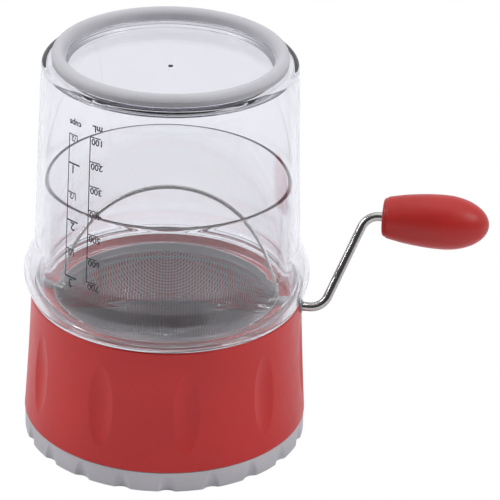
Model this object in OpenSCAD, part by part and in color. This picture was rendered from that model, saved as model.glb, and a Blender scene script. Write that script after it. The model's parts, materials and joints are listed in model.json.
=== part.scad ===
// Hand-cranked rotary flour sifter with a measuring cup for a cover.
// Origin: centre of the base. +Z up, +X along the crank axis towards the knob. Millimetres.

/* [Crank] */
// Height of the crank axis above the base
axis_z = 63.8; // [62.8:0.1:64.2]
// Diameter of the bent crank rod
rod_d = 4.0; // [3.6:0.1:4.2]
// Distance from the body's axis to the start of the rod's lower bend
lower_bend_x = 63.3; // [62:0.1:65]
// Length of the rod's straight arm between its two bends
arm_len = 33.75; // [30:1.25:36.25]
// Sideways part of the arm's direction
arm_run = 44; // [44, 75]
// Rising part of the arm's direction
arm_climb = 117; // [100, 117]
// Centreline radius of both bends
bend_r = 8; // [6:0.5:9]
// Lean of the crank plane from upright, away from the front
crank_tilt = 30; // [0:1:45]
// Running clearance between a shaft and its hole, on the radius
run_gap = 0.06; // [0.03:0.01:0.1]

/* [Knob] */
// Distance from the body's axis to the knob's inner end
knob_x = 91.6; // [91:0.1:95]
// Length of the knob
knob_len = 46.4; // [42:0.1:50]
// Largest radius of the knob
knob_r = 11.95; // [10:0.05:13]
// Radius of the knob's inner end
knob_neck_r = 8.6; // [7.5:0.1:9.5]

/* [Body] */
// Height of the red body's bottom edge
body_z = 9.5; // [9.4:0.1:11]
// Height of the red body's top edge
body_top = 66.2; // [65.8:0.1:66.6]
// Outer radius at the bottom edge
body_r_low = 62.4; // [61.5:0.1:63]
// Outer radius at the top edge
body_r_high = 59.3; // [59:0.1:60]
// Wall thickness of the body
body_wall = 2.4; // [2:0.1:2.6]
// Number of finger dimples
dimple_count = 10; // [6:1:12]
// Height of a finger dimple
dimple_h = 38; // [30:1:42]
// Width of a finger dimple
dimple_w = 11.5; // [8:0.5:13]
// Depth of a finger dimple
dimple_depth = 1.1; // [0.6:0.1:1.3]

/* [Sieve] */
// Inner radius of the mesh bowl
mesh_r = 48.6; // [48.5:0.1:48.8]
// Thickness of the woven mesh
mesh_t = 0.6; // [0.4:0.1:0.6]
// Centreline radius of the agitator loop
loop_r = 47.5; // [46.5:0.1:47.5]
// Wire diameter of the agitator loop
loop_wire = 1.8; // [1.4:0.1:1.8]

/* [Hopper] */
// Height of the hopper's rim
hopper_top = 122.2; // [110:0.1:130]
// Outer radius of the hopper's tube
hopper_r = 53.1; // [52:0.1:53.4]
// Wall thickness of the hopper
hopper_wall = 1.6; // [1.2:0.1:1.8]

/* [Measuring cup] */
// Height of the cup's lip, which faces down
cup_lip_z = 67.9; // [67.8:0.1:68.2]
// Height of the cup's outer shoulder
cup_shoulder_z = 175.2; // [174:0.1:177]
// Outer radius of the cup just above its flare
cup_r_low = 57.6; // [57.4:0.1:58]
// Outer radius of the cup at its closed end
cup_r_high = 54.7; // [54.5:0.1:55.5]
// Wall thickness of the cup
cup_wall = 2.2; // [2:0.1:2.3]
// Thickness of the cup's closed end
cup_floor = 2.4; // [2:0.1:3]

/* [Bottom lid] */
// Height of the lid's gripping band
lid_h = 9.4; // [8:0.1:9.4]
// Outer radius of the lid
lid_r = 62.2; // [61.5:0.1:62.6]
// Thickness of the lid's floor
lid_floor = 2.4; // [2:0.1:3]
// Height of the top of the lid's plug wall
lid_plug_z = 33; // [14:1:34]
// Number of grip notches round the lid
notch_count = 20; // [12:1:24]

/* [Hidden] */
$fn = 96;
eps = 0.01;

rod_r = rod_d / 2;
rise = atan2(arm_climb, arm_run);
outward = [sin(rise), -cos(rise)];
low_centre = [lower_bend_x, bend_r];
arm_start = low_centre + bend_r * outward;
arm_end = arm_start + arm_len * [cos(rise), sin(rise)];
high_centre = arm_end + bend_r * outward;
throw = high_centre[1] + bend_r;
hole_r = rod_r + run_gap;
wire_r = loop_wire / 2;

// Body profile: a straight taper with a slight flare towards the foot
body_steps = 12;
flare_power = 1.3;
function body_r(z) = body_r_high
    + (body_r_low - body_r_high) * pow(max(0, body_top - z) / (body_top - body_z), flare_power);
function body_level(i) = body_z + (body_top - body_z) * i / body_steps;
dimple_z = 37.5;
dimple_phase = 0;

// Ledge inside the body that carries the sieve
ledge_top = 62.2;
ledge_low = 58.4;
rim_t = 0.7;
rim_low = 60.6;
rim_top = 65.2;
rim_r = mesh_r + rim_t;
clamp_t = 1.0;
clamp_w = 2.4;

// Bushes that carry the crank rod and the pivot pin
bush_r = 2.9;
bush_flange_r = 3.4;
crank_bush_in = 50.4;
crank_bush_out = 60.1;
pivot_bush_in = 50.4;
pivot_bush_out = 56.2;
pin_inner_x = 45;
pin_outer_x = 54.6;
clip_x = 49.5;
clip_t = 0.7;
clip_r = 3.4;
pocket_r = 3.9;

// Hopper profile
collar_r = 57.0;
collar_z = 73;
taper_z = 81;
flange_r = 59.1;
flange_t = 1.5;
flange_z = body_top + 0.1;
bead_r = 57.3;
bead_levels = [70, 72.2];
spigot_low = ledge_top + 0.2;
spigot_r = 56.4;
spigot_t = 1.5;

// Cup profile: the tube flares into a thick rounded skirt at its mouth
flare_z = 92.8;
skirt_r = 62.4;
skirt_z = 77.2;
lip_r = 59.9;
skirt_steps = 8;
function ease(t) = (1 - cos(180 * t)) / 2;
function cup_r(z) = cup_r_high + (cup_r_low - cup_r_high) * (cup_inner_top + cup_floor - z)
    / (cup_inner_top + cup_floor - flare_z);
cup_inner_top = 170;
foot_r = 47.5;
foot_tube = 2.87;
foot_z = 177.3;
foot_seat_w = 2.2;
foot_seat_z = 174.4;
end_ring_r = 44;

// Printed scales
ink_t = 0.15;
ink_gap = 0.04;
tick_w = 0.35;
tick_start = tick_w + 0.05;
scale_first_z = 159;
scale_step = 11;
scale_zero_ml = 100;
ml_tick_count = 7;
ml_tick_len = 5;
cup_ml = 236.6;
half_cup_count = 6;
cups_tick_len = 6;
ml_azimuth = 242.8;
cups_azimuth = 230.6;

// Knob interior
knob_tail_x = 118;
knob_steps = 10;
knob_round = 1.4;
rod_end_x = 130;
knob_clip_x = 127;
knob_cavity = 3.8;
knob_clip_r = 3.4;

// Lid
plug_gap = 0.35;
plug_t = 1.8;
notch_r = 4.2;
notch_depth = 1.7;
notch_h = 6.6;
notch_phase = 10.4;

module along_x(from, to, r) {
    translate([from, 0, 0])
        rotate([0, 90, 0])
            cylinder(h = to - from, r = r);
}

module ring(r_out, r_in, low, high) {
    rotate_extrude()
        translate([r_in, low])
            square([r_out - r_in, high - low]);
}

module at_axis() {
    translate([0, 0, axis_z])
        children();
}

// Vertical finger dimple: the rim of a large wheel pressed into the wall
module dimple_cutter(azimuth) {
    wheel_r = pow(dimple_h / 2, 2) / (2 * dimple_depth);
    wall_curve = 1 / body_r(dimple_z);
    tyre_r = 1 / (8 * dimple_depth / pow(dimple_w, 2) - wall_curve);
    lean = atan((body_r(dimple_z - dimple_h / 2) - body_r(dimple_z + dimple_h / 2)) / dimple_h);
    rotate([0, 0, azimuth])
        translate([body_r(dimple_z) - dimple_depth, 0, dimple_z])
            rotate([0, -lean, 0])
                translate([wheel_r, 0, 0])
                    rotate([90, 0, 0])
                        rotate_extrude()
                            translate([wheel_r - tyre_r, 0])
                                circle(r = tyre_r);
}

module body_shell() {
    outer = [for (i = [0:body_steps]) [body_r(body_level(i)), body_level(i)]];
    inner = [for (i = [body_steps:-1:0]) [body_r(body_level(i)) - body_wall, body_level(i)]];
    color("firebrick")
        difference() {
            union() {
                rotate_extrude()
                    polygon(concat(outer, inner));
                ring(body_r(ledge_low) - body_wall + 0.5, rim_r, ledge_low, ledge_top);
            }
            for (i = [0:dimple_count - 1])
                dimple_cutter(dimple_phase + i * 360 / dimple_count);
            at_axis() {
                along_x(crank_bush_in, 70, bush_r);
                translate([crank_bush_in, -bush_r, 0])
                    cube([20, 2 * bush_r, 10]);
                along_x(rim_r - 1, crank_bush_in + eps, pocket_r);
                along_x(-pivot_bush_out, -pivot_bush_in, bush_r);
                along_x(-pivot_bush_in - eps, -rim_r + 1, pocket_r);
            }
        }
}

module bottom_lid() {
    plug_r = body_r(lid_plug_z) - body_wall - plug_gap;
    lean = atan(notch_depth / notch_h);
    color("darkgray")
        difference() {
            union() {
                cylinder(h = lid_floor, r = lid_r - 0.6);
                ring(lid_r, plug_r - plug_t, 0.8, lid_h);
                ring(lid_r - 0.6, plug_r - plug_t, 0, 1);
                ring(plug_r, plug_r - plug_t, lid_floor - 1, lid_plug_z);
            }
            for (i = [0:notch_count - 1])
                rotate([0, 0, notch_phase + i * 360 / notch_count])
                    translate([lid_r + notch_r - notch_depth, 0, 0])
                        rotate([0, lean, 0])
                            translate([0, 0, -5])
                                cylinder(h = lid_h + 10, r = notch_r);
        }
}

module mesh_bowl() {
    color("silver")
        difference() {
            at_axis()
                sphere(r = mesh_r + mesh_t);
            at_axis()
                sphere(r = mesh_r);
            translate([-100, -100, rim_low])
                cube([200, 200, 100]);
        }
}

module mesh_rim() {
    color("silver")
        difference() {
            ring(rim_r, mesh_r, rim_low, rim_top);
            at_axis()
                along_x(-60, 60, hole_r);
        }
}

// Ring under the ledge that holds the mesh bowl's edge up against the rim
module mesh_clamp() {
    color("gray")
        ring(rim_r + clamp_w, mesh_r + mesh_t + 0.1, ledge_low - clamp_t, ledge_low);
}

module hopper_sleeve() {
    tube_in = hopper_r - hopper_wall;
    collar_in = collar_r - hopper_wall;
    spigot_in = spigot_r - spigot_t;
    color("lightblue", 0.4)
        difference() {
            union() {
                rotate_extrude()
                    polygon([
                        [hopper_r, hopper_top], [hopper_r, taper_z], [collar_r, collar_z],
                        [collar_r, flange_z + flange_t], [flange_r, flange_z + flange_t],
                        [flange_r, flange_z], [spigot_r, flange_z], [spigot_r, spigot_low],
                        [spigot_in, spigot_low], [spigot_in, flange_z],
                        [collar_in, collar_z], [tube_in, taper_z], [tube_in, hopper_top]
                    ]);
                for (z = bead_levels)
                    ring(bead_r, collar_r - 0.5, z - 0.4, z + 0.4);
            }
            at_axis() {
                along_x(rim_r, 70, bush_flange_r + 0.1);
                along_x(-pivot_bush_out - 1, -rim_r, bush_r + 0.1);
            }
        }
}

module crank_bush() {
    color("gray")
        at_axis()
            difference() {
                along_x(crank_bush_in, crank_bush_out, bush_r);
                along_x(crank_bush_in - 1, crank_bush_out + 1, hole_r);
            }
}

module pivot_bush() {
    color("gray")
        at_axis()
            difference() {
                along_x(-pivot_bush_out, -pivot_bush_in, bush_r);
                along_x(-pin_outer_x - 0.3, -pivot_bush_in + 1, hole_r);
            }
}

// The rod is drawn in the XZ plane from the crank axis, then leaned back
module crank_rod() {
    color("silver")
        at_axis()
            rotate([-crank_tilt, 0, 0])
                difference() {
                    union() {
                        along_x(pin_inner_x, low_centre[0], rod_r);
                        translate([low_centre[0], 0, low_centre[1]])
                            bend();
                        translate([arm_start[0], 0, arm_start[1]])
                            rotate([0, 90 - rise, 0])
                                cylinder(h = arm_len, r = rod_r);
                        translate([high_centre[0], 0, high_centre[1]])
                            rotate([0, 180, 0])
                                bend();
                        translate([0, 0, throw])
                            along_x(high_centre[0], rod_end_x, rod_r);
                    }
                    translate([loop_r, 0, -wire_r - 0.3])
                        cylinder(h = 10, r = wire_r);
                }
}

// One bend of the rod: the stretch of a ring between straight down and the arm's direction
module bend() {
    size = bend_r + rod_r + 1;
    intersection() {
        rotate([90, 0, 0])
            rotate_extrude()
                translate([bend_r, 0])
                    circle(r = rod_r);
        translate([0, -size, -size])
            cube([size, 2 * size, 2 * size]);
        rotate([0, 90 - rise, 0])
            translate([-size, -size, -size])
                cube([2 * size, 2 * size, size]);
    }
}

module agitator_loop() {
    color("silver")
        at_axis()
            rotate([-crank_tilt, 0, 0]) {
                rotate([90, 0, 0])
                    rotate_extrude(angle = 180)
                        translate([loop_r, 0])
                            circle(r = wire_r);
                for (side = [-1, 1])
                    translate([side * loop_r, 0, -wire_r - 0.3])
                        cylinder(h = wire_r + 0.3, r = wire_r);
            }
}

module pivot_pin() {
    color("silver")
        at_axis()
            rotate([-crank_tilt, 0, 0])
                difference() {
                    along_x(-pin_outer_x, -pin_inner_x, rod_r);
                    translate([-loop_r, 0, -wire_r - 0.3])
                        cylinder(h = 10, r = wire_r);
                }
}

module crank_clip() {
    color("dimgray")
        at_axis()
            difference() {
                along_x(clip_x, clip_x + clip_t, clip_r);
                along_x(clip_x - 1, clip_x + clip_t + 1, rod_r);
            }
}

module at_knob() {
    at_axis()
        rotate([-crank_tilt, 0, 0])
            translate([0, 0, throw])
                children();
}

module knob_clip() {
    color("dimgray")
        at_knob()
            difference() {
                along_x(knob_clip_x, knob_clip_x + clip_t, knob_clip_r);
                along_x(knob_clip_x - 1, knob_clip_x + clip_t + 1, rod_r);
            }
}

// Teardrop knob: a quadratic grip that ends in an elliptical nose
module crank_knob() {
    nose = knob_x + knob_len - knob_tail_x;
    grip = knob_tail_x - knob_x;
    grip_points = [for (i = [1:knob_steps])
        let (s = knob_round / grip + (1 - knob_round / grip) * i / knob_steps)
        [knob_r - (knob_r - knob_neck_r) * pow(1 - s, 2), knob_x + grip * s]];
    nose_points = [for (i = [1:knob_steps])
        let (a = 90 * i / knob_steps)
        [knob_r * cos(a), knob_tail_x + nose * sin(a)]];
    heel_points = [for (i = [0:3])
        let (a = 30 * i)
        [knob_neck_r - knob_round * (1 - sin(a)), knob_x + knob_round * (1 - cos(a))]];
    color("firebrick")
        at_knob()
            difference() {
                rotate([0, 90, 0])
                    rotate_extrude()
                        polygon(concat([[0, knob_x]], heel_points, grip_points, nose_points));
                along_x(knob_x - 1, rod_end_x + 0.5, hole_r);
                along_x(knob_clip_x - 0.3, knob_clip_x + clip_t + 0.3, knob_cavity);
            }
}

module measuring_cup() {
    end_top = cup_inner_top + cup_floor;
    shelf_z = cup_shoulder_z - cup_floor;
    convex = [for (i = [0:skirt_steps])
        let (t = i / skirt_steps, z = cup_lip_z + (skirt_z - cup_lip_z) * t)
        [lip_r + (skirt_r - lip_r) * sin(90 * t), z]];
    flare = [for (i = [1:skirt_steps])
        let (t = i / skirt_steps)
        [skirt_r - (skirt_r - cup_r_low) * ease(t), skirt_z + (flare_z - skirt_z) * t]];
    skirt = concat(convex, flare);
    skirt_inside = [for (i = [len(skirt) - 1:-1:0]) skirt[i] - [cup_wall, 0]];
    shoulder_r = 3;
    shoulder = [for (i = [0:4])
        let (a = 22.5 * i)
        [cup_r_high - shoulder_r * (1 - cos(a)), cup_shoulder_z - shoulder_r * (1 - sin(a))]];
    color("lightblue", 0.3)
        difference() {
            rotate_extrude()
                polygon(concat(
                    skirt, shoulder,
                    [[end_ring_r, cup_shoulder_z], [end_ring_r, end_top], [0, end_top],
                     [0, cup_inner_top], [end_ring_r + cup_wall, cup_inner_top],
                     [end_ring_r + cup_wall, shelf_z], [cup_r_high - cup_wall, shelf_z]],
                    skirt_inside
                ));
            ring(foot_r + foot_seat_w, foot_r - foot_seat_w, foot_seat_z, cup_shoulder_z + 1);
        }
}

module cup_foot_ring() {
    color("lightgray")
        rotate_extrude() {
            translate([foot_r, foot_z])
                circle(r = foot_tube);
            translate([foot_r - foot_tube, cup_shoulder_z])
                square([2 * foot_tube, foot_z - cup_shoulder_z]);
            translate([foot_r - foot_seat_w, foot_seat_z])
                square([2 * foot_seat_w, cup_shoulder_z - foot_seat_z + 0.2]);
        }
}

// A printed mark that wraps the cup between two heights; start and length are arc lengths from the azimuth
module ink(azimuth, start, length, low, high) {
    inner_low = cup_r(low) + ink_gap;
    inner_high = cup_r(high) + ink_gap;
    turn = 180 / PI / inner_low;
    rotate([0, 0, azimuth + start * turn])
        rotate_extrude(angle = length * turn)
            polygon([[inner_low, low], [inner_low + ink_t, low],
                     [inner_high + ink_t, high], [inner_high, high]]);
}

module ml_scale() {
    last_z = scale_first_z - (ml_tick_count - 1) * scale_step;
    color("black") {
        ink(ml_azimuth, 0, tick_w, last_z, scale_first_z);
        for (i = [0:ml_tick_count - 1])
            let (z = scale_first_z - i * scale_step)
                ink(ml_azimuth, tick_start, ml_tick_len, z, z + tick_w);
    }
}

function cups_z(halves) = scale_first_z
    - (halves * cup_ml / 2 - scale_zero_ml) * scale_step / scale_zero_ml;

module cups_scale() {
    color("black") {
        ink(cups_azimuth, 0, tick_w, cups_z(half_cup_count), cups_z(1));
        for (i = [1:half_cup_count])
            let (length = i % 2 == 0 ? cups_tick_len : ml_tick_len)
                ink(cups_azimuth, tick_start, length, cups_z(i), cups_z(i) + tick_w);
    }
}

body_shell();
bottom_lid();
mesh_bowl();
mesh_rim();
mesh_clamp();
hopper_sleeve();
crank_bush();
pivot_bush();
crank_rod();
agitator_loop();
pivot_pin();
crank_clip();
knob_clip();
crank_knob();
measuring_cup();
cup_foot_ring();
ml_scale();
cups_scale();
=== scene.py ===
"""Flour sifter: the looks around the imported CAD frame. Lengths are in millimetres up to the mesh."""
import json
import math

import bmesh
import bpy
import numpy as np
from mathutils import Matrix, Vector


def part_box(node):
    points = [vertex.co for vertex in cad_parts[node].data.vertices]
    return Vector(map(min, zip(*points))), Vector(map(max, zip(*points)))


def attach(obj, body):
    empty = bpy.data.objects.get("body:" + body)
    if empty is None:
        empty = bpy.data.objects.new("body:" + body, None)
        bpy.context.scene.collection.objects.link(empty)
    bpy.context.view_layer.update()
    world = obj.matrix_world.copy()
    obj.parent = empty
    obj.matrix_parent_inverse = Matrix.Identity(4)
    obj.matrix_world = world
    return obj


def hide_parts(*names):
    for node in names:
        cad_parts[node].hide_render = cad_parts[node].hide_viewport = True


MM = 0.001
ON_AXIS = 1e-6
SMOOTH_ANGLE = math.radians(40)
TUBE_SMOOTH_ANGLE = math.radians(50)
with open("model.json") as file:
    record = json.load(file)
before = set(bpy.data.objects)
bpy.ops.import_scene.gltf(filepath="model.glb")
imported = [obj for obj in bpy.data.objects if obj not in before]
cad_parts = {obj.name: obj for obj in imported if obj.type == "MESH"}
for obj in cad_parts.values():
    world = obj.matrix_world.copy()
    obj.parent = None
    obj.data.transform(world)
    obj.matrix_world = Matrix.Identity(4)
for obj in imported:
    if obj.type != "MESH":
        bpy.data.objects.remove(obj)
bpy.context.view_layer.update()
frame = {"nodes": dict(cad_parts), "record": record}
joints = {j["name"]: j for j in frame["record"]["behaviour"]["joints"]}
AXIS_Z = joints["crank_turn"]["pos_m"][2] / MM


def span(node):
    """Lowest and highest corner of a CAD node, in millimetres."""
    low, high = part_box(node)
    return [v / MM for v in low], [v / MM for v in high]


# ---------------------------------------------------------------- shapes

def fillet(points, radii, steps=5, closed=True):
    """The outline with each corner rounded by its own radius."""
    out = []
    count = len(points)
    for i, (p, radius) in enumerate(zip(points, radii)):
        at_end = not closed and i in (0, count - 1)
        if radius <= 0 or at_end:
            out.append(tuple(p))
            continue
        here = Vector(p)
        back = Vector(points[i - 1]) - here
        ahead = Vector(points[(i + 1) % count]) - here
        half = back.angle(ahead) / 2
        if half > math.radians(89):
            out.append(tuple(p))
            continue
        reach = min(radius / math.tan(half), 0.49 * back.length, 0.49 * ahead.length)
        start = here + back.normalized() * reach
        end = here + ahead.normalized() * reach
        for k in range(steps + 1):
            t = k / steps
            out.append(tuple(start.lerp(here, t).lerp(here.lerp(end, t), t)))
    return out


def stretch(a, b, steps):
    """Points from a towards b, without b, so that long straight walls can be reshaped."""
    return [(a[0] + (b[0] - a[0]) * i / steps, a[1] + (b[1] - a[1]) * i / steps) for i in range(steps)]


def inset(line, wall):
    """The same open line, moved by a wall's thickness towards the inside and run backwards."""
    out = []
    for i in range(len(line) - 1, -1, -1):
        before, after = line[max(0, i - 1)], line[min(len(line) - 1, i + 1)]
        dr, dz = after[0] - before[0], after[1] - before[1]
        size = math.hypot(dr, dz)
        out.append((line[i][0] - wall * dz / size, line[i][1] + wall * dr / size))
    return out


def revolve(name, outline, segments, reshape=None, closed=True):
    """Revolves (radius, height) points about Z. reshape(r, z, angle) may change a radius."""
    mesh = bmesh.new()
    rings = []
    for r, z in outline:
        if r < ON_AXIS:
            rings.append([mesh.verts.new((0, 0, z * MM))])
            continue
        ring = []
        for k in range(segments):
            a = 2 * math.pi * k / segments
            radius = reshape(r, z, a) if reshape else r
            ring.append(mesh.verts.new((radius * math.cos(a) * MM, radius * math.sin(a) * MM, z * MM)))
        rings.append(ring)
    pairs = list(zip(rings, rings[1:] + rings[:1])) if closed else list(zip(rings, rings[1:]))
    for low, high in pairs:
        if len(low) == 1 and len(high) == 1:
            continue
        for k in range(segments):
            n = (k + 1) % segments
            if len(low) == 1:
                mesh.faces.new((low[0], high[n], high[k]))
            elif len(high) == 1:
                mesh.faces.new((low[k], low[n], high[0]))
            else:
                mesh.faces.new((low[k], low[n], high[n], high[k]))
    bmesh.ops.recalc_face_normals(mesh, faces=mesh.faces)
    obj = finished(name, mesh)
    even_shading(obj)
    return obj


def even_shading(obj):
    """Lets the large faces set the normals, so that flats stay flat beside their rounded edges."""
    weighted = obj.modifiers.new("weighted_normals", "WEIGHTED_NORMAL")
    weighted.weight = 100
    weighted.keep_sharp = True


def finished(name, mesh):
    """Turns a bmesh into a smooth-shaded object."""
    data = bpy.data.meshes.new(name)
    mesh.to_mesh(data)
    mesh.free()
    obj = bpy.data.objects.new(name, data)
    bpy.context.collection.objects.link(obj)
    data.polygons.foreach_set("use_smooth", [True] * len(data.polygons))
    data.set_sharp_from_angle(angle=SMOOTH_ANGLE)
    return obj


def tubes(name, paths, radius, sides=32):
    """One mesh of round tubes, each along its own list of points in millimetres."""
    verts = []
    faces = []
    for path in paths:
        pts = np.array(path, dtype=float)
        tangent = np.gradient(pts, axis=0)
        tangent /= np.linalg.norm(tangent, axis=1)[:, None]
        side = np.cross(tangent[0], [0.3, 0.5, 0.8])
        side /= np.linalg.norm(side)
        base = len(verts)
        for p, t in zip(pts, tangent):
            side = side - t * side.dot(t)
            side /= np.linalg.norm(side)
            other = np.cross(t, side)
            for k in range(sides):
                a = 2 * math.pi * k / sides
                verts.append((p + radius * (math.cos(a) * side + math.sin(a) * other)) * MM)
        for i in range(len(pts) - 1):
            for k in range(sides):
                n = (k + 1) % sides
                a, b = base + i * sides, base + (i + 1) * sides
                faces.append((a + k, a + n, b + n, b + k))
        faces.append(tuple(base + k for k in reversed(range(sides))))
        last = base + (len(pts) - 1) * sides
        faces.append(tuple(last + k for k in range(sides)))
    data = bpy.data.meshes.new(name)
    data.from_pydata([tuple(v) for v in verts], [], faces)
    data.update()
    data.polygons.foreach_set("use_smooth", [True] * len(data.polygons))
    data.set_sharp_from_angle(angle=TUBE_SMOOTH_ANGLE)
    obj = bpy.data.objects.new(name, data)
    bpy.context.collection.objects.link(obj)
    return obj


def move(obj, matrix):
    obj.data.transform(matrix)
    obj.data.update()


def carve(obj, cutter):
    """Cuts cutter out of obj for good, and throws the cutter away."""
    mod = obj.modifiers.new("carve", "BOOLEAN")
    mod.object = cutter
    mod.operation = "DIFFERENCE"
    mod.solver = "EXACT"
    bpy.context.view_layer.update()
    evaluated = obj.evaluated_get(bpy.context.evaluated_depsgraph_get())
    data = bpy.data.meshes.new_from_object(evaluated)
    obj.modifiers.clear()
    obj.data = data
    bpy.data.objects.remove(cutter)
    data.polygons.foreach_set("use_smooth", [True] * len(data.polygons))
    data.set_sharp_from_angle(angle=SMOOTH_ANGLE)
    even_shading(obj)


def rod_along_x(name, start, end, radius):
    """A straight rod on the crank axis."""
    middle = (start + end) / 2
    return tubes(name, [[(x, 0, AXIS_Z) for x in (start, middle, end)]], radius)


# ---------------------------------------------------------------- materials

# The spread of a noise texture that a roughness range and a tint cover
NOISE_LOW = 0.3
NOISE_HIGH = 0.7
TINT_LOW = 0.35
TINT_HIGH = 0.65
PLASTIC_IOR = 1.5
MOTTLE = 0.04
FLOW_PER_M = 30
PATCH_PER_M = 120
HAZE_PER_M = 60
RIPPLE_PER_M = 22
MARKS_PER_M = 5000


def nodes_of(name):
    """A new material, with its tree, its shader and its texture coordinates."""
    mat = bpy.data.materials.new(name)
    mat.use_nodes = True
    tree = mat.node_tree
    shader = tree.nodes["Principled BSDF"]
    coords = tree.nodes.new("ShaderNodeTexCoord")
    return mat, tree, shader, coords


def noise(tree, coords, scale, detail=4.0, stretch_by=None):
    """A noise texture in object coordinates, with scale in waves a metre."""
    tex = tree.nodes.new("ShaderNodeTexNoise")
    tex.inputs["Scale"].default_value = scale
    tex.inputs["Detail"].default_value = detail
    if stretch_by:
        mapping = tree.nodes.new("ShaderNodeMapping")
        mapping.inputs["Scale"].default_value = stretch_by
        tree.links.new(coords.outputs["Object"], mapping.inputs["Vector"])
        tree.links.new(mapping.outputs["Vector"], tex.inputs["Vector"])
    else:
        tree.links.new(coords.outputs["Object"], tex.inputs["Vector"])
    return tex


def ranged(tree, tex, low, high, socket):
    """Drives a number socket between two values."""
    ramp = tree.nodes.new("ShaderNodeMapRange")
    ramp.inputs["From Min"].default_value = NOISE_LOW
    ramp.inputs["From Max"].default_value = NOISE_HIGH
    ramp.inputs["To Min"].default_value = low
    ramp.inputs["To Max"].default_value = high
    tree.links.new(tex.outputs["Fac"], ramp.inputs["Value"])
    tree.links.new(ramp.outputs["Result"], socket)


def tinted(tree, tex, dark, light, socket):
    """Drives a colour socket between two colours."""
    ramp = tree.nodes.new("ShaderNodeValToRGB")
    ramp.color_ramp.elements[0].position = TINT_LOW
    ramp.color_ramp.elements[1].position = TINT_HIGH
    ramp.color_ramp.elements[0].color = (*dark, 1)
    ramp.color_ramp.elements[1].color = (*light, 1)
    tree.links.new(tex.outputs["Fac"], ramp.inputs["Fac"])
    tree.links.new(ramp.outputs["Color"], socket)


def bumped(tree, tex, distance, strength, shader):
    """Bump of a given height in millimetres."""
    bump = tree.nodes.new("ShaderNodeBump")
    bump.inputs["Distance"].default_value = distance * MM
    bump.inputs["Strength"].default_value = strength
    tree.links.new(tex.outputs["Fac"], bump.inputs["Height"])
    tree.links.new(bump.outputs["Normal"], shader.inputs["Normal"])


def shade(colour, factor):
    return tuple(min(1.0, c * factor) for c in colour)


def moulded(name, colour, roughness, grain_per_m, grain_mm, specular=0.5):
    """Injection-moulded plastic: a fine spark-eroded grain and a faint flow mottle."""
    mat, tree, shader, coords = nodes_of(name)
    flow = noise(tree, coords, FLOW_PER_M)
    tinted(tree, flow, shade(colour, 1 - MOTTLE), shade(colour, 1 + MOTTLE), shader.inputs["Base Color"])
    patches = noise(tree, coords, PATCH_PER_M)
    ranged(tree, patches, roughness - 0.04, roughness + 0.04, shader.inputs["Roughness"])
    bumped(tree, noise(tree, coords, grain_per_m, 2), grain_mm, 0.5, shader)
    shader.inputs["Specular IOR Level"].default_value = specular
    shader.inputs["IOR"].default_value = PLASTIC_IOR
    return mat


def clear(name, colour, roughness, ripple_mm, smoke_per_m):
    """Clear styrene: a slow ripple from the mould and a trace of haze."""
    mat, tree, shader, coords = nodes_of(name)
    shader.inputs["Base Color"].default_value = (*colour, 1)
    shader.inputs["Transmission Weight"].default_value = 1.0
    shader.inputs["IOR"].default_value = PLASTIC_IOR
    haze = noise(tree, coords, HAZE_PER_M)
    ranged(tree, haze, roughness * 0.5, roughness * 1.5, shader.inputs["Roughness"])
    bumped(tree, noise(tree, coords, RIPPLE_PER_M, 1), ripple_mm, 0.25, shader)
    smoke = tree.nodes.new("ShaderNodeVolumeAbsorption")
    smoke.inputs["Color"].default_value = SMOKE
    smoke.inputs["Density"].default_value = smoke_per_m
    tree.links.new(smoke.outputs["Volume"], tree.nodes["Material Output"].inputs["Volume"])
    return mat


def steel(name, colour, roughness, drawn):
    """Stainless steel with fine drawing marks along the given direction."""
    mat, tree, shader, coords = nodes_of(name)
    marks = noise(tree, coords, MARKS_PER_M, 3, stretch_by=drawn)
    tinted(tree, noise(tree, coords, 50), shade(colour, 0.94), colour, shader.inputs["Base Color"])
    ranged(tree, marks, roughness * 0.9, roughness * 1.1, shader.inputs["Roughness"])
    bumped(tree, marks, 0.001, 0.03, shader)
    shader.inputs["Metallic"].default_value = 1.0
    return mat


def frost(mat, weight):
    """A pale bloom where the surface turns away, as on soft-touch plastic."""
    shader = mat.node_tree.nodes["Principled BSDF"]
    shader.inputs["Sheen Weight"].default_value = weight
    shader.inputs["Sheen Roughness"].default_value = 0.35
    shader.inputs["Sheen Tint"].default_value = (0.85, 0.88, 1.0, 1)


RED = (0.50, 0.012, 0.010)
KNOB_RED = (0.44, 0.020, 0.016)
GREY = (0.50, 0.495, 0.52)
CLEAR = (0.990, 0.990, 0.995)
SMOKE = (0.80, 0.80, 0.83, 1)
red_plastic = moulded("red_plastic", RED, 0.36, 2600, 0.02, specular=0.42)
knob_plastic = moulded("knob_plastic", KNOB_RED, 0.40, 3200, 0.012, specular=0.34)
frost(knob_plastic, 0.12)
grey_rubber = moulded("grey_rubber", GREY, 0.55, 4200, 0.03, specular=0.35)
bearing_plastic = moulded("bearing_plastic", (0.30, 0.30, 0.32), 0.4, 3000, 0.02)
cup_clear = clear("cup_clear", CLEAR, 0.012, 0.03, 125)
hopper_clear = clear("hopper_clear", CLEAR, 0.02, 0.03, 95)
rod_steel = steel("rod_steel", (0.46, 0.44, 0.42), 0.12, (0.06, 1, 1))
loop_steel = steel("loop_steel", (0.50, 0.49, 0.48), 0.25, (1, 1, 1))
mesh_steel = steel("mesh_steel", (0.56, 0.55, 0.55), 0.3, (1, 1, 1))
rim_steel = steel("rim_steel", (0.50, 0.50, 0.50), 0.34, (1, 1, 0.1))
ink = moulded("ink", (0.012, 0.012, 0.014), 0.5, 5000, 0.01)


def dress(obj, material, body, slot, *nodes):
    """Gives a piece its material and its body, and hides the CAD nodes that it stands for. The slot
    argument is not used.
    """
    obj.data.materials.clear()
    obj.data.materials.append(material)
    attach(obj, body)
    if nodes:
        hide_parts(*nodes)


def repaint(node, material):
    """Gives a carried-over CAD node its material."""
    obj = frame["nodes"][node]
    for holder in obj.material_slots:
        holder.material = material


# ---------------------------------------------------------------- red body

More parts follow.
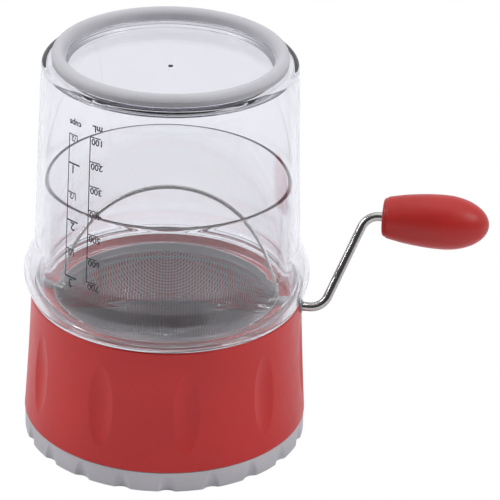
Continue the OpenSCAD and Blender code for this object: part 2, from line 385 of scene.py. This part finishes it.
DIMPLES = 10
DIMPLE_H = 38
DIMPLE_W = 11.5
DIMPLE_DEPTH = 1.4
DIMPLE_Z = 37.5
BODY_R_HIGH = 59.3
WALL = 2.4
ROD_R = 2.0
FLARE_POWER = 1.3
LEDGE_TOP = 62.2
LEDGE_LOW = 58.4
SLOT_L = 20
SLOT_H = 10
SLOT_X = 60.5
DIMPLE_SOFT = 0.025
BODY_SEGMENTS = 720
CLEAR_SEGMENTS = 256
KNOB_SEGMENTS = 128
body_low, body_high = span("body_shell")
rim_low, rim_high = span("mesh_rim")
RIM_R = rim_high[0]
BODY_R_LOW = body_high[0]
BUSH_R = span("crank_bush")[1][1]


def body_r(z):
    """The body's outer wall, which flares towards the base."""
    part = max(0.0, body_high[2] - z) / (body_high[2] - body_low[2])
    return BODY_R_HIGH + (BODY_R_LOW - BODY_R_HIGH) * part ** FLARE_POWER


def dimpled(r, z, angle):
    """Presses the finger dimples into the outer wall, with a soft edge."""
    if r < body_r(z) - 0.6:
        return r
    pitch = 2 * math.pi / DIMPLES
    off = (angle + pitch / 2) % pitch - pitch / 2
    across = off * r / (DIMPLE_W / 2)
    along = (z - DIMPLE_Z) / (DIMPLE_H / 2)
    inside = 1 - across ** 2 - along ** 2
    return r - DIMPLE_DEPTH * (inside + math.sqrt(inside ** 2 + DIMPLE_SOFT ** 2)) / 2


def build_body():
    low, top = body_low[2], body_high[2]
    steps = 110
    edge = 0.5
    heights = [low + edge + (top - low - 2 * edge) * i / steps for i in range(steps + 1)]
    wall = [(body_r(z), z) for z in heights]
    inner_top = body_r(top) - WALL
    inner = [(body_r(z) - WALL, z) for z in np.linspace(LEDGE_LOW, low, 12)]
    outline = (
        [(body_r(low) - edge, low), (body_r(low) - 0.15, low + 0.15)] + wall
        + [(body_r(top) - 0.12, top - 0.15), (body_r(top) - edge, top), (inner_top, top)]
        + fillet([(inner_top, LEDGE_TOP + 1), (inner_top, LEDGE_TOP),
                  (RIM_R, LEDGE_TOP), (RIM_R, LEDGE_LOW)], [0, 0.8, 0.4, 0], closed=False)
        + inner
    )
    obj = revolve("body_wall", outline, BODY_SEGMENTS, dimpled)
    carve(obj, rod_along_x("cut_rod", RIM_R - 1, body_high[0] + 3, BUSH_R))
    box = bmesh.new()
    bmesh.ops.create_cube(box, size=1)
    bmesh.ops.scale(box, vec=Vector((SLOT_L, 2 * BUSH_R, SLOT_H)) * MM, verts=box.verts)
    bmesh.ops.translate(box, vec=Vector((SLOT_X, 0, AXIS_Z + SLOT_H / 2)) * MM, verts=box.verts)
    carve(obj, finished("cut_slot", box))
    carve(obj, rod_along_x("cut_pocket", -57, -RIM_R + 1, BUSH_R))
    dress(obj, red_plastic, "body", "red_plastic", "body_shell")


# ---------------------------------------------------------------- bottom lid

NOTCHES = 20
NOTCH_R = 4.7
NOTCH_DEPTH = 1.9
NOTCH_H = 8.8
NOTCH_SOFT = 0.12
NOTCH_PHASE = math.radians(10.4)
lid_high = span("bottom_lid")[1]
LID_R = lid_high[0]
LID_BAND = 9.4
PLUG_R = 58.1
PLUG_T = 1.8
LID_FLOOR = 2.4


def notched(r, z, angle):
    """Scoops the arched grip notches out of the lid's band."""
    if r < LID_R - 2.5:
        return r
    pitch = 2 * math.pi / NOTCHES
    off = (angle - NOTCH_PHASE + pitch / 2) % pitch - pitch / 2
    across = off * r
    if abs(across) >= NOTCH_R:
        return r
    axis = LID_R + NOTCH_R - NOTCH_DEPTH + z * NOTCH_DEPTH / NOTCH_H
    cut = axis - math.sqrt(NOTCH_R ** 2 - across ** 2)
    gap = r - cut
    return r - (gap + math.sqrt(gap ** 2 + NOTCH_SOFT ** 2)) / 2


def build_lid():
    plug_top = lid_high[2]
    plug_in = PLUG_R - PLUG_T
    outline = (
        [(0, 0), (LID_R - 3, 0)]
        + fillet([(LID_R - 2, 0), (LID_R, 0), (LID_R, 3)], [0, 0.8, 0], closed=False)
        + stretch((LID_R, 3.2), (LID_R, LID_BAND - 0.4), 16)
        + [(LID_R - 0.1, LID_BAND - 0.1), (LID_R - 0.4, LID_BAND)]
        + fillet([(PLUG_R + 0.5, LID_BAND), (PLUG_R, LID_BAND), (PLUG_R, LID_BAND + 2)],
                 [0, 0.3, 0], closed=False)
        + fillet([(PLUG_R, plug_top - 2), (PLUG_R, plug_top),
                  (plug_in, plug_top), (plug_in, plug_top - 2)], [0, 0.6, 0.6, 0], closed=False)
        + fillet([(plug_in, LID_FLOOR + 4), (plug_in, LID_FLOOR), (plug_in - 6, LID_FLOOR)],
                 [0, 2, 0], closed=False)
        + [(0, LID_FLOOR)]
    )
    obj = revolve("lid_moulding", outline, BODY_SEGMENTS, notched, closed=False)
    dress(obj, grey_rubber, "lid", "grey_plastic", "bottom_lid")


# ---------------------------------------------------------------- clear parts

CUP_WALL = 2.2
SKIRT_Z = 77.2
FLARE_Z = 92.8
LIP_R = 59.9
CUP_R_LOW = 57.6
CUP_R_HIGH = 54.7
CUP_INNER_TOP = 170.0
CUP_END = 172.4
END_RING_R = 44.0
SHOULDER_Z = 175.2
SEAT_DEPTH = 0.8
FOOT_R = 47.5
FOOT_TUBE = 2.87
FOOT_Z = 177.3
RING_STEP = 0.15
NIB = ((1.6, 0), (1.1, 0.1), (0.85, 0.55), (0.4, 0.7), (0, 0.7))
cup_low, cup_high = span("measuring_cup")
SKIRT_R = cup_high[0]


def cup_outer_r(z):
    """The cup's tapered tube, above its flare."""
    return CUP_R_HIGH + (CUP_R_LOW - CUP_R_HIGH) * (CUP_END - z) / (CUP_END - FLARE_Z)


def swell(t):
    """The skirt's round lower part, from the lip (t = 0) to its widest ring (t = 1)."""
    lip_z = cup_low[2]
    return LIP_R + (SKIRT_R - LIP_R) * math.sin(math.pi / 2 * t), lip_z + (SKIRT_Z - lip_z) * t


def taper_in(t):
    """The skirt's upper part, from its widest ring (t = 0) to the tube (t = 1)."""
    ease = (1 - math.cos(math.pi * t)) / 2
    return SKIRT_R - (SKIRT_R - CUP_R_LOW) * ease, SKIRT_Z + (FLARE_Z - SKIRT_Z) * t


def build_cup():
    lip_z = cup_low[2]
    skirt = [swell(t) for t in np.linspace(0.06, 1, 18)]
    flare = [taper_in(t) for t in np.linspace(0.05, 1, 26)]
    tube = [(cup_outer_r(z), z) for z in np.linspace(FLARE_Z + 3, SHOULDER_Z - 7, 12)]
    seat_z = SHOULDER_Z - SEAT_DEPTH
    shoulder = fillet(
        [(cup_outer_r(SHOULDER_Z - 6), SHOULDER_Z - 6), (cup_outer_r(SHOULDER_Z), SHOULDER_Z),
         (FOOT_R + 2.4, SHOULDER_Z), (FOOT_R + 2.3, seat_z),
         (FOOT_R - 2.3, seat_z), (FOOT_R - 2.4, SHOULDER_Z),
         (END_RING_R, SHOULDER_Z), (END_RING_R, CUP_END), (END_RING_R - 6, CUP_END)],
        [0, 3.2, 0, 0, 0, 0, 0.8, 1.5, 0], 8, closed=False)
    nib = [(r, CUP_END + rise) for r, rise in NIB]
    shelf_z = SHOULDER_Z - CUP_END + CUP_INNER_TOP
    step_r = END_RING_R + CUP_WALL
    ceiling = fillet(
        [(20, CUP_INNER_TOP), (step_r, CUP_INNER_TOP), (step_r, shelf_z),
         (cup_outer_r(shelf_z) - CUP_WALL, shelf_z),
         (tube[-1][0] - CUP_WALL, tube[-1][1])], [0, 0.8, 0.8, 1.2, 0], 8, closed=False)
    inside = inset(skirt + flare + tube, CUP_WALL)[1:]
    mouth = [(LIP_R - CUP_WALL + 0.1, lip_z + 0.4), (LIP_R - CUP_WALL + 0.5, lip_z)]
    outline = ([(LIP_R - 0.5, lip_z)] + skirt + flare + tube + shoulder + nib
               + [(0, CUP_INNER_TOP)] + ceiling + inside + mouth)
    obj = revolve("cup_moulding", outline, CLEAR_SEGMENTS)
    dress(obj, cup_clear, "cup", "clear_plastic", "measuring_cup")


def build_foot_ring():
    """A rounded ring with an upright outer wall, which starts at a fine step."""
    seat_z = SHOULDER_Z - SEAT_DEPTH + 0.1
    wall_r = FOOT_R + FOOT_TUBE - RING_STEP
    arc = [(FOOT_R + FOOT_TUBE * math.cos(a), FOOT_Z + FOOT_TUBE * math.sin(a))
           for a in np.radians(np.linspace(0, 180, 34))]
    outline = [(FOOT_R - FOOT_TUBE, SHOULDER_Z), (FOOT_R - 2.1, SHOULDER_Z), (FOOT_R - 2.1, seat_z),
               (FOOT_R + 2.1, seat_z), (FOOT_R + 2.1, SHOULDER_Z), (wall_r - 0.3, SHOULDER_Z),
               (wall_r, SHOULDER_Z + 0.3), (wall_r, FOOT_Z - 0.1)] + arc
    obj = revolve("foot_ring_moulding", outline, CLEAR_SEGMENTS)
    dress(obj, grey_rubber, "cup", "grey_plastic", "cup_foot_ring")


HOPPER_R = 53.1
HOPPER_WALL = 1.6
COLLAR_R = 57.0
COLLAR_Z = 73.0
TAPER_Z = 81.0
FLANGE_R = 59.1
FLANGE_T = 1.5
FLANGE_GAP = 0.1
BEAD_R = 57.3
BEAD_LEVELS = (70.0, 72.2)
BEAD_HALF = 0.35
SPIGOT_R = 56.4
SPIGOT_T = 1.5


def build_hopper():
    low, high = span("hopper_sleeve")
    flange_z = body_high[2] + FLANGE_GAP
    flange_top = flange_z + FLANGE_T
    spigot_in = SPIGOT_R - SPIGOT_T
    tube_in = HOPPER_R - HOPPER_WALL
    collar_in = COLLAR_R - HOPPER_WALL
    beads = []
    for z in reversed(BEAD_LEVELS):
        beads += [(COLLAR_R, z + 2 * BEAD_HALF), (BEAD_R - 0.05, z + BEAD_HALF), (BEAD_R, z),
                  (BEAD_R - 0.05, z - BEAD_HALF), (COLLAR_R, z - 2 * BEAD_HALF)]
    taper = fillet([(HOPPER_R, high[2] - 4), (HOPPER_R, TAPER_Z), (COLLAR_R, COLLAR_Z + 0.6)],
                   [0, 8, 0], 12, closed=False)
    inner_taper = inset(taper[::-1], HOPPER_WALL)[::-1]
    outline = (
        taper
        + beads
        + fillet([(COLLAR_R, flange_top + 1), (COLLAR_R, flange_top), (FLANGE_R, flange_top),
                  (FLANGE_R, flange_z), (SPIGOT_R, flange_z), (SPIGOT_R, low[2]), (spigot_in, low[2]),
                  (spigot_in, flange_z)], [0, 0.5, 0.4, 0.2, 0, 0.3, 0.3, 0], 4, closed=False)
        + [(collar_in, COLLAR_Z - 2)]
        + inner_taper
        + fillet([(tube_in, high[2] - 2), (tube_in, high[2]),
                  (HOPPER_R, high[2]), (HOPPER_R, high[2] - 2)], [0, 0.7, 0.7, 0], 5, closed=False)
    )
    obj = revolve("hopper_moulding", outline, CLEAR_SEGMENTS)
    carve(obj, rod_along_x("cut_right", RIM_R, 70, BUSH_R + 0.6))
    carve(obj, rod_along_x("cut_left", -58, -RIM_R, BUSH_R + 0.2))
    dress(obj, hopper_clear, "body", "clear_plastic", "hopper_sleeve")


# ---------------------------------------------------------------- woven mesh

MESH_PITCH = 1.4
MESH_WIRE = 0.34
MESH_TURN = math.radians(9)
MESH_TOP = 61.0
RIM_INNER = 48.6
HEM = 0.12
WAVE_STEPS = 6
SHORTEST = 0.002


def wire_path(line, along, radius, top):
    """One wavy wire of the bowl, in an upright plane. It goes over and under the wires it crosses."""
    step = MESH_PITCH / radius
    across = math.sin(line * step)
    height = (AXIS_Z - top) / radius
    room = 1 - across ** 2 - height ** 2
    if room <= SHORTEST:
        return []
    reach = math.asin(math.sqrt(room)) / step
    count = max(2, int(2 * reach * WAVE_STEPS))
    turn = Matrix.Rotation(MESH_TURN, 3, "Z")
    path = []
    for t in np.linspace(-reach, reach, count):
        run = math.sin(t * step)
        down = math.sqrt(max(0.0, 1 - across ** 2 - run ** 2))
        wave = math.cos(math.pi * (t + line + along)) * MESH_WIRE / 2
        spot = Vector((across, run, -down)) if along else Vector((run, across, -down))
        path.append(tuple(turn @ (spot * (radius + wave)) + Vector((0, 0, AXIS_Z))))
    return path


def build_mesh():
    radius = (span("mesh_bowl")[1][1] + RIM_INNER) / 2
    lines = int(radius * math.pi / 2 / MESH_PITCH)
    for along, name in enumerate(("mesh_warp_wires", "mesh_weft_wires")):
        paths = [wire_path(line, along, radius, MESH_TOP) for line in range(-lines, lines + 1)]
        obj = tubes(name, [p for p in paths if len(p) > 3], MESH_WIRE / 2, 6)
        dress(obj, mesh_steel, "body", "steel_mesh", *(["mesh_bowl"] if along == 0 else []))


def build_rim():
    """The pressed steel band that the wire cloth is crimped into."""
    low, high = rim_low[2], rim_high[2]
    recess = RIM_INNER + 0.45
    hem_r = RIM_INNER - HEM
    outline = fillet(
        [(hem_r, MESH_TOP), (hem_r, MESH_TOP + 0.7), (RIM_INNER, MESH_TOP + 0.9), (RIM_INNER, high),
         (RIM_R, high), (RIM_R, low), (recess, low), (recess, MESH_TOP)],
        [0.25, 0.2, 0.1, 0.3, 0.3, 0, 0, 0], 4)
    obj = revolve("rim_band", outline, CLEAR_SEGMENTS)
    carve(obj, rod_along_x("cut_axis", -RIM_R - 3, RIM_R + 3, ROD_R + 0.06))
    dress(obj, rim_steel, "body", "steel_mesh", "mesh_rim")


# ---------------------------------------------------------------- crank

LOOP_R = 47.5
LOOP_WIRE = 1.8
BEND_R = 8.0
LOWER_BEND_X = 63.3
ARM_LEN = 33.75
ARM_SLOPE = math.atan2(117, 44)
knob_joint = Vector(joints["knob_spin"]["pos_m"]) / MM
THROW = Vector((knob_joint.y, knob_joint.z - AXIS_Z)).length
TILT = math.atan2(knob_joint.y, knob_joint.z - AXIS_Z)


def crank_place(x, up):
    """A point of the crank's own plane, leaned back about the crank axis."""
    return (x, up * math.sin(TILT), AXIS_Z + up * math.cos(TILT))


def build_crank():
    rod_low, rod_high = span("crank_rod")
    path = [(x, 0) for x in np.linspace(rod_low[0], LOWER_BEND_X, 8)]
    low_bend = [(LOWER_BEND_X + BEND_R * math.sin(a), BEND_R * (1 - math.cos(a)))
                for a in np.linspace(0, ARM_SLOPE, 16)]
    start = low_bend[-1]
    end = (start[0] + ARM_LEN * math.cos(ARM_SLOPE), start[1] + ARM_LEN * math.sin(ARM_SLOPE))
    arm = [(start[0] + (end[0] - start[0]) * t, start[1] + (end[1] - start[1]) * t)
           for t in np.linspace(0.1, 1, 8)]
    centre = (end[0] + BEND_R * math.sin(ARM_SLOPE), end[1] - BEND_R * math.cos(ARM_SLOPE))
    high_bend = [(centre[0] - BEND_R * math.sin(a), centre[1] + BEND_R * math.cos(a))
                 for a in np.linspace(ARM_SLOPE, 0, 16)[1:]]
    tail = [(x, THROW) for x in np.linspace(centre[0] + 3, rod_high[0], 8)]
    path += low_bend[1:] + arm + high_bend + tail
    rod = tubes("bent_rod", [[crank_place(x, up) for x, up in path]], ROD_R, 40)
    dress(rod, rod_steel, "crank", "steel_wire", "crank_rod")
    loop = [crank_place(-LOOP_R, -1.2)]
    loop += [crank_place(-LOOP_R * math.cos(a), LOOP_R * math.sin(a))
             for a in np.linspace(0, math.pi, 97)]
    loop += [crank_place(LOOP_R, -1.2)]
    wire = tubes("scraper_wire", [loop], LOOP_WIRE / 2, 24)
    dress(wire, loop_steel, "crank", "steel_wire", "agitator_loop")


KNOB_R = 11.95
KNOB_NECK_R = 8.6
KNOB_TAIL_X = 118.0


def build_knob():
    low, high = span("crank_knob")
    grip = KNOB_TAIL_X - low[0]
    nose = high[0] - KNOB_TAIL_X
    outline = [(ROD_R + 0.15, low[0] + 2), (ROD_R + 0.3, low[0] + 0.2), (ROD_R + 0.6, low[0])]
    heel = [(KNOB_NECK_R - 1.8 * (1 - math.sin(a)), low[0] + 1.6 * (1 - math.cos(a)))
            for a in np.linspace(0, math.pi / 2, 9)]
    outline += heel
    outline += [(KNOB_R - (KNOB_R - KNOB_NECK_R) * (1 - s) ** 2, low[0] + grip * s)
                for s in np.linspace(1.6 / grip + 0.02, 1, 40)]
    outline += [(KNOB_R * math.cos(a), KNOB_TAIL_X + nose * math.sin(a))
                for a in np.linspace(0.04, math.pi / 2, 36)]
    outline[-1] = (0, high[0])
    outline += [(0, high[0] - 4), (ROD_R + 0.15, high[0] - 6)]
    obj = revolve("knob_moulding", outline, KNOB_SEGMENTS)
    turn = Matrix.Rotation(math.pi / 2, 4, "Y")
    place = Matrix.Translation(Vector((0, knob_joint.y, knob_joint.z)) * MM)
    move(obj, place @ turn)
    dress(obj, knob_plastic, "knob", "red_plastic", "crank_knob")


# ---------------------------------------------------------------- printed scale

FIRST_Z = 159.0
STEP = 11.0
CUP_ML = 236.6
ML_AZIMUTH = 242.8
CUPS_AZIMUTH = 230.6
NUMERAL_H = 2.75
LINE_W = 0.5
BOLD_W = 0.75
INK_LIFT = 0.06
ML_MARKS = 7
CUP_MARKS = 6
MARK_GAP = 0.35
# A digit's height as a share of the font size
DIGIT_SHARE = 0.7


def on_cup(azimuth, arc, z):
    """A point of the print: an arc length round the cup from an azimuth, at a height."""
    r = cup_outer_r(z) + INK_LIFT
    a = math.radians(azimuth) + arc / r
    return Vector((r * math.cos(a), r * math.sin(a), z)) * MM


def bar(azimuth, arc_from, arc_to, low, high):
    """A printed bar that follows the cup's curve and taper."""
    mesh = bmesh.new()
    count = max(1, int((arc_to - arc_from) / 0.8))
    arcs = np.linspace(arc_from, arc_to, count + 1)
    rows = [[mesh.verts.new(on_cup(azimuth, arc, z)) for arc in arcs] for z in (low, high)]
    for k in range(count):
        mesh.faces.new((rows[0][k], rows[0][k + 1], rows[1][k + 1], rows[1][k]))
    return mesh


def numeral(text, azimuth, start, top_z, height, bold=0.035):
    """A printed word, upside down: it hangs from top_z and reads from its far end back to start."""
    curve = bpy.data.curves.new("word", "FONT")
    curve.body = text
    curve.size = height / DIGIT_SHARE
    curve.offset = bold * height
    obj = bpy.data.objects.new("word", curve)
    bpy.context.collection.objects.link(obj)
    bpy.context.view_layer.update()
    data = bpy.data.meshes.new_from_object(obj.evaluated_get(bpy.context.evaluated_depsgraph_get()))
    bpy.data.objects.remove(obj)
    width = max(v.co.x for v in data.vertices)
    mesh = bmesh.new()
    mesh.from_mesh(data)
    bpy.data.meshes.remove(data)
    bmesh.ops.triangulate(mesh, faces=mesh.faces)
    bmesh.ops.subdivide_edges(mesh, edges=mesh.edges, cuts=1)
    for v in mesh.verts:
        v.co = on_cup(azimuth, start + width - v.co.x, top_z - v.co.y)
    return mesh


def printed(name, words, node):
    """Joins the marks and words of one scale into one piece."""
    whole = bmesh.new()
    for word in words:
        part = bpy.data.meshes.new("part")
        word.to_mesh(part)
        word.free()
        whole.from_mesh(part)
        bpy.data.meshes.remove(part)
    bmesh.ops.recalc_face_normals(whole, faces=whole.faces)
    obj = finished(name, whole)
    dress(obj, ink, "cup", "ink", node)


def build_scale():
    last_ml = FIRST_Z - (ML_MARKS - 1) * STEP
    ml = [bar(ML_AZIMUTH, 0, LINE_W, last_ml, FIRST_Z + LINE_W)]
    for i in range(ML_MARKS):
        z = FIRST_Z - i * STEP
        ml.append(bar(ML_AZIMUTH, 0, 5.4, z, z + LINE_W))
        ml.append(numeral(str(100 * (i + 1)), ML_AZIMUTH, 0.9, z - MARK_GAP, NUMERAL_H))
    ml.append(numeral("mL", ML_AZIMUTH, 1.2, FIRST_Z + 5.6, NUMERAL_H, 0.05))
    printed("ml_print", ml, "ml_scale")

    heights = [FIRST_Z - (i * CUP_ML / 2 - 100) * STEP / 100 for i in range(1, CUP_MARKS + 1)]
    cups = [bar(CUPS_AZIMUTH, 0, LINE_W, heights[-1], heights[0] + LINE_W)]
    for i, z in enumerate(heights, 1):
        whole = i % 2 == 0
        cups.append(bar(CUPS_AZIMUTH, 0, 6.8 if whole else 5.2, z, z + (BOLD_W if whole else LINE_W)))
        text = str(i // 2) if whole else "1/2"
        size = NUMERAL_H * 1.3 if whole else NUMERAL_H * 0.85
        cups.append(numeral(text, CUPS_AZIMUTH, 2.6 if whole else 1.5, z - MARK_GAP, size))
    cups.append(numeral("cups", CUPS_AZIMUTH, 0.2, FIRST_Z + 4.6, NUMERAL_H * 0.95, 0.05))
    printed("cups_print", cups, "cups_scale")


# ---------------------------------------------------------------- studio

CAMERA_AT = Vector((0.18143, -1.14551, 0.66731))
CAMERA_FORWARD = Vector((-0.112398, 0.887004, -0.447873))
CAMERA_UP = Vector((-0.087462, 0.440148, 0.893655))
LENS = 214.3
PAPER = (0.88, 0.88, 0.90)
WORLD_FRONT = 0.06
WORLD_BACK = 0.85
LEFT_POWER = 18
RIGHT_POWER = 14
TOP_POWER = 7.5
# The two side boxes mirror each other; all three face the object's middle, in metres
SIDE_X = 1.5
SIDE_Y = -0.35
SIDE_Z = 1.55
SIDE_SIZE = 0.9
TOP_AT = (0.1, 0.3, 2.1)
TOP_SIZE = 1.7
AIM = (0, 0, 0.09)
SKY = (0.95, 0.965, 1.0, 1)


def build_studio():
    """The camera, the paper floor, a sky that is brighter behind the object, and three soft boxes."""
    data = bpy.data.cameras.new("camera")
    data.lens = LENS
    data.sensor_width = 36
    data.clip_end = 20
    camera = bpy.data.objects.new("camera", data)
    bpy.context.collection.objects.link(camera)
    right = CAMERA_FORWARD.cross(CAMERA_UP)
    turn = Matrix((right, CAMERA_UP, -CAMERA_FORWARD)).transposed().to_4x4()
    camera.matrix_world = Matrix.Translation(CAMERA_AT) @ turn
    bpy.context.scene.camera = camera

    floor = bmesh.new()
    bmesh.ops.create_circle(floor, cap_ends=True, segments=96, radius=6)
    bmesh.ops.translate(floor, vec=(0, 0, -0.0002), verts=floor.verts)
    floor = finished("floor", floor)
    floor.data.materials.append(paper())

    world = bpy.data.worlds.new("studio")
    bpy.context.scene.world = world
    world.use_nodes = True
    tree = world.node_tree
    shader = tree.nodes["Background"]
    coords = tree.nodes.new("ShaderNodeTexCoord")
    parts = tree.nodes.new("ShaderNodeSeparateXYZ")
    ramp = tree.nodes.new("ShaderNodeMapRange")
    ramp.inputs["From Min"].default_value = -0.9
    ramp.inputs["From Max"].default_value = 0.3
    ramp.inputs["To Min"].default_value = WORLD_FRONT
    ramp.inputs["To Max"].default_value = WORLD_BACK
    tree.links.new(coords.outputs["Generated"], parts.inputs["Vector"])
    tree.links.new(parts.outputs["Y"], ramp.inputs["Value"])
    tree.links.new(ramp.outputs["Result"], shader.inputs["Strength"])
    shader.inputs["Color"].default_value = SKY

    soft_light("left_box", (-SIDE_X, SIDE_Y, SIDE_Z), SIDE_SIZE, LEFT_POWER)
    soft_light("right_box", (SIDE_X, SIDE_Y, SIDE_Z), SIDE_SIZE, RIGHT_POWER)
    soft_light("top_box", TOP_AT, TOP_SIZE, TOP_POWER)


def paper():
    """Pale paper: the camera sees it burnt out to white, the object is lit by its true colour."""
    mat, tree, shader, coords = nodes_of("paper_floor")
    tinted(tree, noise(tree, coords, 3), shade(PAPER, 0.985), PAPER, shader.inputs["Base Color"])
    ranged(tree, noise(tree, coords, 40), 0.7, 0.8, shader.inputs["Roughness"])
    shader.inputs["Specular IOR Level"].default_value = 0.2
    white = tree.nodes.new("ShaderNodeEmission")
    rays = tree.nodes.new("ShaderNodeLightPath")
    mix = tree.nodes.new("ShaderNodeMixShader")
    out = tree.nodes["Material Output"]
    tree.links.new(rays.outputs["Is Camera Ray"], mix.inputs["Fac"])
    tree.links.new(shader.outputs["BSDF"], mix.inputs[1])
    tree.links.new(white.outputs["Emission"], mix.inputs[2])
    tree.links.new(mix.outputs["Shader"], out.inputs["Surface"])
    return mat


def soft_light(name, at, size, power):
    """A square soft box that faces the object."""
    data = bpy.data.lights.new(name, "AREA")
    data.size = size
    data.energy = power
    light = bpy.data.objects.new(name, data)
    bpy.context.collection.objects.link(light)
    light.location = at
    light.rotation_euler = (Vector(AIM) - Vector(at)).to_track_quat("-Z", "Y").to_euler()


bpy.context.scene.view_settings.view_transform = "Standard"
bpy.context.scene.cycles.max_bounces = 40
bpy.context.scene.cycles.transmission_bounces = 40
bpy.context.scene.cycles.glossy_bounces = 16
bpy.context.scene.cycles.blur_glossy = 0.0
build_studio()
build_body()
build_lid()
build_cup()
build_foot_ring()
build_hopper()
build_mesh()
build_rim()
build_crank()
build_knob()
build_scale()
repaint("mesh_clamp", bearing_plastic)
repaint("crank_bush", bearing_plastic)
repaint("pivot_bush", bearing_plastic)
repaint("pivot_pin", loop_steel)
repaint("crank_clip", rim_steel)
repaint("knob_clip", rim_steel)
